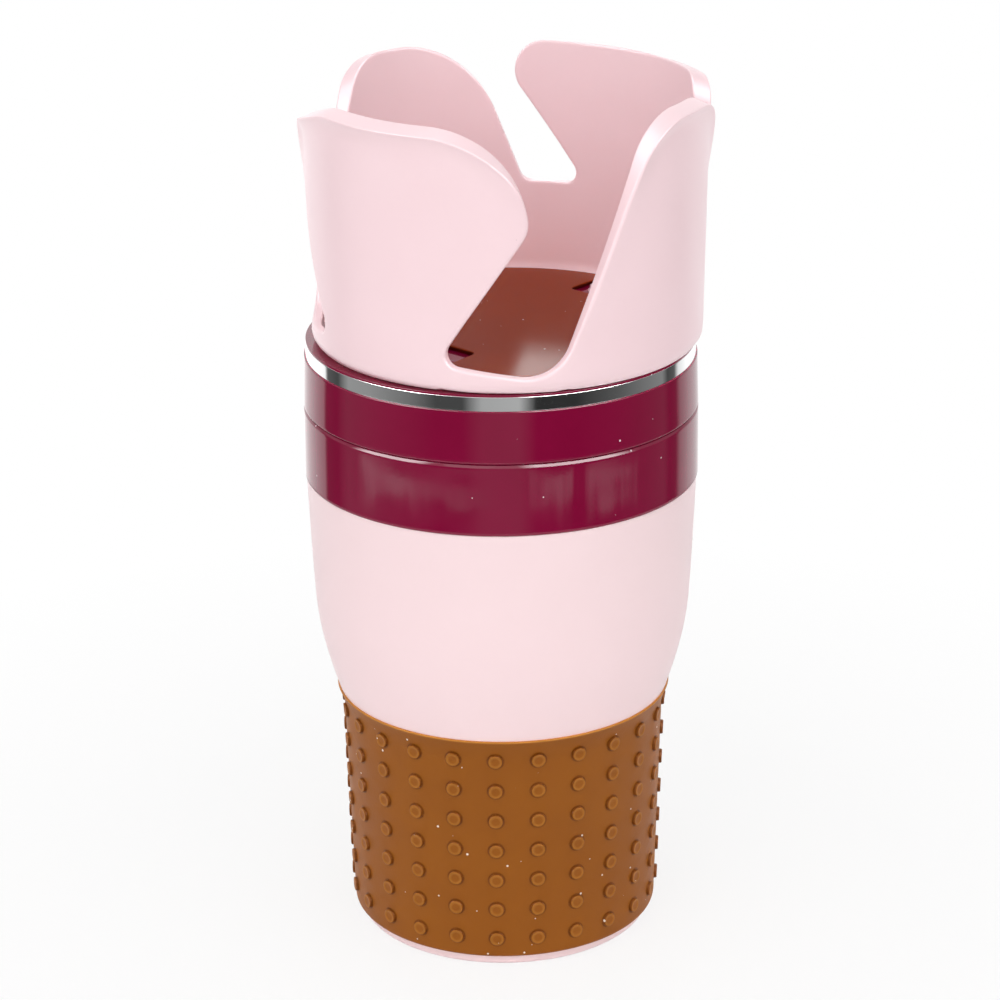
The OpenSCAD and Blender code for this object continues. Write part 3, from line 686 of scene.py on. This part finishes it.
# %% Petal outline on the unrolled wall
ROUND_R = 42.5
HALF_WAY = ROUND_R * math.pi
DEEP_FOOT = [(35.8, 176, 7), (15.7, 146.4, 3), (34, 143.85, 6), (42, 143.8, 10)]
SHALLOW_FOOT = [(106.5, 164.2, 3), (121.9, 164.2, 2.6)]
RIGHT_SIDE = [(0, CUP_TOP, 0), (32, CUP_TOP, 21.5), *DEEP_FOOT, (64.1, CUP_TOP, 14), (95.8, CUP_TOP, 22),
              *SHALLOW_FOOT, (97.9, CUP_TOP, 6), (HALF_WAY, CUP_TOP, 0)]
LEFT_SIDE = [(0, CUP_TOP, 0), (13, CUP_TOP, 22), (35, 191, 5.8), *DEEP_FOOT, (63.7, CUP_TOP, 10.5),
             (93.4, CUP_TOP, 25.5), *SHALLOW_FOOT, (97.9, CUP_TOP, 7), (HALF_WAY, CUP_TOP, 0)]
right, right_ways = round_corners(RIGHT_SIDE, 0.6, closed=False)
left, left_ways = round_corners(LEFT_SIDE, 0.6, closed=False)
outline = np.concatenate([left[:0:-1] * [-1, 1], right])
ways = np.concatenate([left_ways[:0:-1] * [1, -1], right_ways])
inward = np.stack([ways[:, 1], -ways[:, 0]], -1)
lengths = np.linalg.norm(np.diff(outline, axis=0), axis=1)
print("outline:", len(outline), "points,", round(float(lengths.sum())), "mm long")


# %% [markdown]
# ## The petal cup: its wall
#
# The cup's outside is a section that runs over the underside, round the corner and up the wall, measured by
# the way along it. With the way round the axis as the other parameter, any point of the outside is a
# formula. Strips follow the outline, closest together at the edge, and the field inside them is filled with
# triangles by Delaunay's method, which keeps the borders as they are.


# %% Sections of the outside and the inside
RING_IN = 38.5
FLOOR_STEPS, HOLE_STEPS = 180, 48
WIDENS_FOR = 51


def section(m, low, flat, corner, slope):
    """Radius, height and outward direction, m millimetres along a section from a ring of radius 38.5 at
    height low: flat for a way, then a quarter circle of radius corner, then a wall that widens by slope for
    each millimetre up."""
    a = np.clip((m - flat) / corner, 0, np.pi / 2)
    up = np.maximum(m - flat - corner * np.pi / 2, 0)
    on_floor = m < flat
    wall = RING_IN + flat + corner + slope * np.minimum(up, WIDENS_FOR)
    r = np.where(on_floor, RING_IN + m, np.where(up > 0, wall, RING_IN + flat + corner * np.sin(a)))
    height = np.where(on_floor, low, low + corner + np.where(up > 0, up, -corner * np.cos(a)))
    return r, height, np.where(on_floor, 0.0, np.sin(a)), np.where(on_floor, -1.0, -np.cos(a))


def outer_section(m):
    """The outside: from the underside round a corner of radius 3 up the wall."""
    return section(m, DECK_TOP, 1.8, 3.0, 0.0173)


def inner_section(m):
    """The inside: from the floor's top round a corner of radius 0.5 up the inner wall."""
    return section(m, FLOOR_TOP, 2.0, 0.5, 0.0055)


OUTER_RISE = 1.8 + 1.5 * math.pi - (DECK_TOP + 3.0)
INNER_RISE = 2.0 + 0.25 * math.pi - (FLOOR_TOP + 0.5)


# %% How the lip stands out
FULL_LIFT, LOW_LIFT = 1.45, 0.35
FRONT_END, SIDE_END = 39, 80


def ease(x):
    """Goes from 0 to 1 as x does, with no slope at either end."""
    x = np.clip(x, 0, 1)
    return x * x * (3 - 2 * x)


def flare_amount(s, z):
    """How far the lip stands out at the outline: full at the petals' tops, fading down each edge."""
    s = np.abs(s)
    front = FULL_LIFT * ease((z - 172) / 18)
    side = LOW_LIFT * ease((z - 146) / 10) + (FULL_LIFT - LOW_LIFT) * ease((z - 176) / 18)
    back = FULL_LIFT * ease((z - 166) / 22)
    return np.where(s < FRONT_END, front, np.where(s < SIDE_END, side, back))


# %% Strips, filling and the cut face
EDGE_R, FLARE_WIDTH, INNER_EDGE_R = 0.75, 5.4, 0.3
LEAN = 1.25
FILL_SPACING = 2.2
quarter = np.linspace(0, np.pi / 2, 6)
OUTER_DEPTHS = np.concatenate([EDGE_R * (1 - np.cos(quarter)), [1.2, 1.8, 2.5, 3.3, 4.2, FLARE_WIDTH]])
INNER_DEPTHS = np.concatenate([INNER_EDGE_R * (1 - np.cos(quarter[::2])), [0.8, 1.4]])
lift = flare_amount(outline[:, 0], outline[:, 1])


def edge_drop(depth, radius):
    """How far a rounded edge lies under the face at a distance depth from its rim: radius minus a quarter
    circle."""
    d = np.minimum(depth, radius)
    return radius - np.sqrt(np.maximum(radius**2 - (radius - d) ** 2, 0))


def wall_points(s, m, section, push, sink=0.0):
    """Points on a section turned to the angle s / ROUND_R from the front, pushed out along the section's
    direction and let down by sink."""
    r, z, out, up = section(m)
    angle = s / ROUND_R
    r, z = r + push * out, z + push * up - sink
    return np.stack([r * np.sin(angle), -r * np.cos(angle), z], -1)


def loop_edges(count, first=0):
    """Edges from each point of a closed loop to the next one."""
    k = np.arange(count)
    return np.stack([k, (k + 1) % count], -1) + first


def filled(flat, edges):
    """Triangles between flat points, with the given edges kept. Returns the places and the faces."""
    made = delaunay_2d_cdt(flat.tolist(), edges.tolist(), [], 1, 1e-7)
    return np.array([tuple(v) for v in made[0]]), [list(f) for f in made[2]]


def field(top, section):
    """Points and faces of the triangles between the last offset line and the floor ring."""
    low = np.stack([np.linspace(-HALF_WAY, HALF_WAY, FLOOR_STEPS + 1), np.zeros(FLOOR_STEPS + 1)], -1)
    rise = np.linspace(0, top[-1, 1], max(2, int(top[-1, 1] / FILL_SPACING)) + 1)[1:-1]
    right = np.stack([np.full(len(rise), HALF_WAY), rise], -1)
    border = np.concatenate([low, right, top[::-1], (right * [-1, 1])[::-1]])
    gs, gm = np.meshgrid(np.arange(-HALF_WAY + FILL_SPACING, HALF_WAY - FILL_SPACING / 2, FILL_SPACING),
                         np.arange(FILL_SPACING * 0.8, 62, FILL_SPACING * 0.87))
    gs = gs + (np.arange(len(gs)) % 2)[:, None] * FILL_SPACING / 2
    grid = np.stack([gs.ravel(), gm.ravel()], -1)
    a, b = border, np.roll(border, -1, 0)
    crosses = (a[:, 1] > grid[:, 1:]) != (b[:, 1] > grid[:, 1:])
    climb = np.where(b[:, 1] == a[:, 1], 1e-9, b[:, 1] - a[:, 1])
    at = a[:, 0] + (grid[:, 1:] - a[:, 1]) / climb * (b[:, 0] - a[:, 0])
    within = (crosses & (grid[:, :1] < at)).sum(1) % 2 == 1
    clear = ((grid[:, None] - border[None]) ** 2).sum(-1).min(1) > (0.55 * FILL_SPACING) ** 2
    where, faces = filled(np.concatenate([border, grid[within & clear]]), loop_edges(len(border)))
    return wall_points(where[:, 0], where[:, 1], section, 0.0), faces


def side_of_wall(depths, section, rise, pushes, sinks=0.0):
    """Strips along the outline at the given depths, pushed and let down as given, and the field under the
    last."""
    lines = outline[None] + inward[None] * depths[:, None, None]
    s, m = lines[..., 0], lines[..., 1] + rise
    strip = wall_points(s, m, section, pushes, sinks)
    count = len(outline) - 1
    quads = grid_faces(len(depths), count)
    top = np.stack([s[-1], m[-1]], -1)
    return (strip[:, :-1].reshape(-1, 3), quads), field(top, section)


fade = (1 - np.clip(OUTER_DEPTHS / FLARE_WIDTH, 0, 1))[:, None] ** 1.7
outer_pushes = lift[None] * fade - edge_drop(OUTER_DEPTHS, EDGE_R)[:, None]
top_share = ease((outline[:, 1] - 180) / 15)
outer_sinks = LEAN * (lift / FULL_LIFT * top_share)[None] * fade
inner_pushes = np.repeat(edge_drop(INNER_DEPTHS, INNER_EDGE_R)[:, None], len(outline), 1)
outer_strip, outer_field = side_of_wall(OUTER_DEPTHS, outer_section, OUTER_RISE, outer_pushes, outer_sinks)
inner_strip, inner_field = side_of_wall(INNER_DEPTHS, inner_section, INNER_RISE, inner_pushes)
count = len(outline) - 1
share = np.array([0, 0.08, 0.5, 0.92, 1])[:, None, None]
face_points = outer_strip[0][:count][None] * (1 - share) + inner_strip[0][:count][None] * share
cut_face = (face_points.reshape(-1, 3), grid_faces(len(share), count))
print("flare from", round(float(lift.min()), 2), "to", round(float(lift.max()), 2), "mm")

# %% [markdown]
# ## The petal cup: its floor
#
# The floor closes the cup between the two rings of radius 38.5. The pivot screw stands in a round pocket
# near the rim, and its hole goes through. Each side of the floor is a disc with that hole, filled by the
# same method.


# %% Floor discs and the pivot's pocket
def ring_of(radius, count, centre=(0.0, 0.0)):
    """Points of a circle in the plane, the first one straight to the front."""
    t = np.arange(count) * 2 * np.pi / count
    return np.stack([centre[0] + radius * np.sin(t), centre[1] - radius * np.cos(t)], -1)


def holed_disc(z, hole_r, radius=RING_IN):
    """A flat disc at height z with a round hole at the pivot."""
    flat = np.concatenate([ring_of(radius, FLOOR_STEPS), ring_of(hole_r, HOLE_STEPS, PIVOT)])
    edges = np.concatenate([loop_edges(FLOOR_STEPS), loop_edges(HOLE_STEPS, FLOOR_STEPS)])
    where, faces = filled(flat, edges)
    kept = [f for f in faces if np.linalg.norm(where[f].mean(0) - PIVOT) > hole_r * 0.99]
    return np.concatenate([where, np.full((len(where), 1), z)], -1), kept


def stacked_rings(rings, count, centre=(0.0, 0.0)):
    """Circles of (radius, height) one over the other, with quads between neighbours."""
    points = [np.concatenate([ring_of(r, count, centre), np.full((count, 1), z)], -1) for r, z in rings]
    return np.concatenate(points), grid_faces(len(rings), count)


POCKET_R, POCKET_FLOOR, HOLE_R = 3.95, 142.0, 2.4
pocket_rings = [(POCKET_R, FLOOR_TOP), (3.8, FLOOR_TOP - 0.15), (3.8, POCKET_FLOOR), (2.26, POCKET_FLOOR),
                (2.26, 140.2), (HOLE_R, DECK_TOP)]
points, faces = joined([outer_strip, outer_field, inner_strip, inner_field, cut_face,
                        holed_disc(FLOOR_TOP, POCKET_R), holed_disc(DECK_TOP, HOLE_R),
                        stacked_rings(pocket_rings, HOLE_STEPS, PIVOT)])


# %% Turning what swings to where it rests
def swung(points):
    """Points turned about the upright axis through the pivot, by the angle at which the cup rests open."""
    x, y = points[:, 0], points[:, 1] - PIVOT[1]
    c, s = math.cos(SWING), math.sin(SWING)
    return np.stack([x * c - y * s, PIVOT[1] + x * s + y * c, points[:, 2]], -1)


dress(lay_mesh("petal_cup", swung(points), faces, 50), CUP_PINK, "cup", "pink_shell", "swing_cup")

# %% [markdown]
# Where the mat leaves the floor bare, at its finger notch, the floor is magenta. A coat as thin as a film
# lies on it: two discs with the pivot's hole, and a rim round each border.

# %% Magenta coat on the cup's floor
COAT, COAT_HOLE_R = 0.05, 4.0
MAT_R = 40.45
coat_low, coat_high = FLOOR_TOP - 0.01, FLOOR_TOP + COAT
points, faces = joined([
    holed_disc(coat_low, COAT_HOLE_R, MAT_R), holed_disc(coat_high, COAT_HOLE_R, MAT_R),
    stacked_rings([(MAT_R, coat_low), (MAT_R, coat_high)], FLOOR_STEPS),
    stacked_rings([(COAT_HOLE_R, coat_low), (COAT_HOLE_R, coat_high)], HOLE_STEPS, PIVOT)])
dress(lay_mesh("cup_floor_coat", swung(points), faces), MAGENTA, "cup", "magenta_shell")

# %% [markdown]
# ## The mat
#
# A thin brown mat lies on the cup's floor, with a finger notch at the front and a notch round the pivot at
# the back. It is an outline carried up its own edge, with small roundings top and bottom, and closed by two
# flat faces.


# %% Mat
NOTCH_HALF, NOTCH_MOUTH, NOTCH_Y = 10.8, 11.8, -22.3
REAR_HALF, REAR_Y = 5.0, 27.0
NOTCH_R = 1.5


def mat_outline():
    """Outline of the mat: two arcs of the floor's circle, joined by the walls of the two notches."""
    t = np.linspace(math.asin(NOTCH_MOUTH / MAT_R), math.pi - math.asin(REAR_HALF / MAT_R), 90)
    right = [(MAT_R * math.sin(v), -MAT_R * math.cos(v), 0) for v in t]
    left = [(-x, y, 0) for x, y, _ in right[::-1]]
    front = [(-NOTCH_HALF, NOTCH_Y, NOTCH_R), (NOTCH_HALF, NOTCH_Y, NOTCH_R)]
    rear = [(REAR_HALF, REAR_Y, NOTCH_R), (-REAR_HALF, REAR_Y, NOTCH_R)]
    return round_corners(front + right + rear + left, 0.5)


rim, rim_ways = mat_outline()
rim_in = np.stack([-rim_ways[:, 1], rim_ways[:, 0]], -1)
step_in = np.array([0.25, 0.08, 0.0, 0.0, 0.06, 0.16, 0.3])
step_up = np.array([COAT, 0.12, 0.25, 0.7, 0.84, 0.95, 1.0])
levels = rim[None] + rim_in[None] * step_in[:, None, None]
heights = np.repeat((FLOOR_TOP + step_up)[:, None, None], len(rim), 1)
mat_points = np.concatenate([levels, heights], -1).reshape(-1, 3)
mat_faces = grid_faces(len(step_in), len(rim))
last = (len(step_in) - 1) * len(rim)
mat_faces += [list(range(len(rim)))[::-1], list(range(last, last + len(rim)))]
dress(lay_mesh("floor_mat", swung(mat_points), mat_faces, 50), MAT_BROWN, "cup", "mat_rubber", "cup_mat")

# %% [markdown]
# ## Screws, washers and the hidden ring
#
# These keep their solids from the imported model: their shapes are simple and true, and only the pivot
# screw's head can be seen, from above. They get plated steel, brass and dark plastic.

# %% Finishes on the carried-over nodes
KEPT_SOLIDS = {"collar_retainer": HIDDEN, "retainer_screws": STEEL, "pivot_screw": STEEL,
               "pivot_washer": STEEL, "pivot_spring_washer": STEEL, "pivot_nut": BRASS}
for node, finish in KEPT_SOLIDS.items():
    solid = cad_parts[node]
    for index in range(len(solid.material_slots)):
        solid.material_slots[index].link = "OBJECT"
        solid.material_slots[index].material = finish
    print("finish on", node, "slots:", len(solid.material_slots))

# %% [markdown]
# ## Floor, light and camera
#
# The photograph shows the object on pure white, lit by three big soft lights. The floor is a pale disc that
# fades to white for the camera towards its rim. The world is white to camera rays and an even room to
# diffuse light. Glossy rays see a room of their own, dark with pale patches, which is what the bands and
# the ring mirror.


# %% Floor
WHITE = (1, 1, 1, 1)


def stage_floor():
    """A pale round floor. It shades towards white for camera rays, all the way at its rim, so that only the
    soft shadow is left of it."""
    points, faces = turned([(0, -3.0), (260, -3.0), (300, -2.0), (300, -0.02), (0, -0.02)], 96)
    floor = lay_mesh("studio_floor", points, faces)
    finish, tree, shader, where = new_finish("pale floor", (0.9, 0.9, 0.9), Roughness=0.85)
    glow = add_node(tree, "ShaderNodeEmission", {"Color": WHITE, "Strength": 1.0})
    rays = tree.nodes.new("ShaderNodeLightPath")
    from_axis = add_node(tree, "ShaderNodeVectorMath", {0: where}, operation="LENGTH")
    whiteness = add_node(tree, "ShaderNodeMapRange",
                         {"Value": from_axis.outputs["Value"], "From Min": 0.1, "From Max": 0.24,
                          "To Min": 0.78, "To Max": 1.0})
    part = math_node(tree, "MULTIPLY", rays.outputs["Is Camera Ray"], whiteness.outputs[0])
    mix = add_node(tree, "ShaderNodeMixShader", {0: part, 1: shader.outputs[0], 2: glow.outputs[0]})
    tree.links.new(mix.outputs[0], tree.nodes["Material Output"].inputs["Surface"])
    floor.data.materials.append(finish)


# %% Lights
CAMERA_ANGLE = 45.58
SOFTBOX_SIDE = 0.9
MIDDLE = (0, 0, 0.11)


def around(angle, distance, height):
    """A place in metres at an angle in degrees from the camera's side, positive to the right."""
    a = math.radians(CAMERA_ANGLE + angle)
    return (distance * math.sin(a), -distance * math.cos(a), height)


def soft_light(name, place, power):
    """A square area light at place, facing the object's middle."""
    lamp = bpy.data.lights.new(name, "AREA")
    lamp.shape = "RECTANGLE"
    lamp.size, lamp.size_y = SOFTBOX_SIDE, SOFTBOX_SIDE
    lamp.energy = power
    holder = new_object(name, lamp)
    way = Vector(MIDDLE) - Vector(place)
    holder.matrix_world = Matrix.Translation(place) @ way.to_track_quat("-Z", "Y").to_matrix().to_4x4()


# %% [markdown]
# The glossy bands and the bright ring are nearly mirrors, so what they show is the room. Going round the
# object from the camera's side, the room is a dark space with a few pale patches, and past about 120
# degrees on both sides it is the white paper behind the object. A colour ramp over that angle holds the
# room, for glossy rays only. A second mask over the height of the ray puts the edge of the white table into
# the lower band.

# %% The room that the bands mirror
ROOM = [(-180, 1.4), (-140, 1.3), (-125, 1.0), (-122, 0.1), (-110, 0.06), (-100, 0.3), (-84, 0.28),
        (-52, 0.15), (-38, 0.06), (-22, 0.06), (-11, 0.38), (10, 0.42), (20, 0.027), (44, 0.03), (70, 0.09),
        (98, 0.19), (108, 0.22), (114, 0.06), (122, 0.1), (127, 0.8), (140, 1.1), (180, 1.4)]
TABLE = [(-180, 0.0), (-92, 0.0), (-86, 1.5), (-58, 1.4), (-44, 1.0), (-20, 0.6), (14, 0.35), (26, 1.2),
         (38, 1.2), (44, 0.1), (50, 0.1), (56, 1.2), (76, 0.9), (84, 0.2), (110, 0.0)]
ABOVE = [(-180, 5.0), (-179, 5.0), (-178, 1.3), (-150, 1.3), (-130, 0.5), (-96, 0.6), (-86, 12.0),
         (-54, 12.0), (-44, 0.5), (10, 0.5), (22, 12.0), (70, 12.0), (84, 0.6), (130, 0.5), (150, 1.3),
         (177.4, 1.3), (178.4, 5.0), (180, 5.0)]


def level_ramp(tree, share, levels):
    """A grey colour ramp of (degrees, level) over share, which goes from 0 at -180 degrees to 1 at 180."""
    ramp = add_node(tree, "ShaderNodeValToRGB", {"Fac": share})
    stops = ramp.color_ramp.elements
    for index, (degrees, level) in enumerate(levels):
        stop = stops[index] if index < 1 else stops.new((degrees + 180) / 360)
        stop.position = (degrees + 180) / 360
        stop.color = (level, level, level, 1)
    stops[-1].color = (levels[-1][1],) * 3 + (1,)
    return ramp.outputs["Color"]


def wander(tree, ray, scale, detail, amount):
    """A small shift, up to half of amount to either side, that changes with the ray's direction."""
    centred = math_node(tree, "SUBTRACT", noise(tree, ray, scale, detail), 0.5)
    return math_node(tree, "MULTIPLY", centred, amount)


def table_edge(tree, ray):
    """1 for rays that fall at about 19.6 degrees, where the table's edge lies, its lower border uneven."""
    drop = upright(tree, ray)
    uneven = math_node(tree, "ADD", drop, wander(tree, ray, 7.0, 3.0, 0.018))
    under, over = between(tree, drop, -0.327, -0.3285), between(tree, uneven, -0.341, -0.339)
    return math_node(tree, "MULTIPLY", under, over)


def part_towards(tree, ray, degrees):
    """The part of a ray's direction that points to an angle round the object, from the camera's side."""
    return add_node(tree, "ShaderNodeVectorMath", {0: ray, 1: around(degrees, 1, 0)},
                    operation="DOT_PRODUCT").outputs["Value"]


def set_world():
    """White for camera rays and an even room for diffuse light. Glossy rays see ROOM by their angle round
    the object, with TABLE in front of it where the table's edge lies, and ABOVE where they rise."""
    world = bpy.data.worlds.new("studio room")
    bpy.context.scene.world = world
    world.use_nodes = True
    tree = world.node_tree
    tree.nodes.clear()
    out = tree.nodes.new("ShaderNodeOutputWorld")
    rays = tree.nodes.new("ShaderNodeLightPath").outputs
    ray = tree.nodes.new("ShaderNodeTexCoord").outputs["Generated"]
    angle = math_node(tree, "ARCTAN2", part_towards(tree, ray, 90), part_towards(tree, ray, 0))
    share = between(tree, angle, -math.pi, math.pi)
    slid = math_node(tree, "ADD", share, wander(tree, ray, 11.0, 2.0, 0.06))
    table = math_node(tree, "MULTIPLY", level_ramp(tree, slid, TABLE), table_edge(tree, ray))
    low_room = math_node(tree, "MAXIMUM", level_ramp(tree, share, ROOM), table)
    rising = between(tree, upright(tree, ray), 0.02, 0.2)
    mirrored = add_node(tree, "ShaderNodeMix",
                        {"Factor": rising, "A": low_room, "B": level_ramp(tree, share, ABOVE)})
    white = add_node(tree, "ShaderNodeBackground", {"Color": WHITE, "Strength": 1.0})
    room = add_node(tree, "ShaderNodeBackground", {"Color": WHITE, "Strength": 0.73})
    gloss = add_node(tree, "ShaderNodeBackground", {"Color": mirrored.outputs["Result"], "Strength": 1.0})
    soft = add_node(tree, "ShaderNodeMixShader",
                    {0: rays["Is Glossy Ray"], 1: room.outputs[0], 2: gloss.outputs[0]})
    mix = add_node(tree, "ShaderNodeMixShader",
                   {0: rays["Is Camera Ray"], 1: soft.outputs[0], 2: white.outputs[0]})
    tree.links.new(mix.outputs[0], out.inputs["Surface"])


stage_floor()
set_world()
soft_light("left softbox", around(-35, 0.9, 0.6), 1.25)
soft_light("right softbox", around(60, 0.9, 0.55), 0.5)
soft_light("front softbox", around(-5, 0.75, 0.8), 2.75)
print("lights:", [lamp.name for lamp in bpy.data.lights])

# %% Camera
CAMERA_PLACE = (0.5147, -0.5049, 0.3699)
CAMERA_TURNS = (("Z", 45.584), ("X", 69.5), ("Z", -0.45))
camera_data = bpy.data.cameras.new("photo camera")
camera_data.lens = 122.4
camera_data.sensor_width = 36
camera_data.clip_start = 0.05
camera = new_object("photo camera", camera_data)
placing = Matrix.Translation(CAMERA_PLACE)
for axis, degrees in CAMERA_TURNS:
    placing = placing @ Matrix.Rotation(math.radians(degrees), 4, axis)
camera.matrix_world = placing
bpy.context.scene.camera = camera
bpy.context.scene.view_settings.view_transform = "Standard"
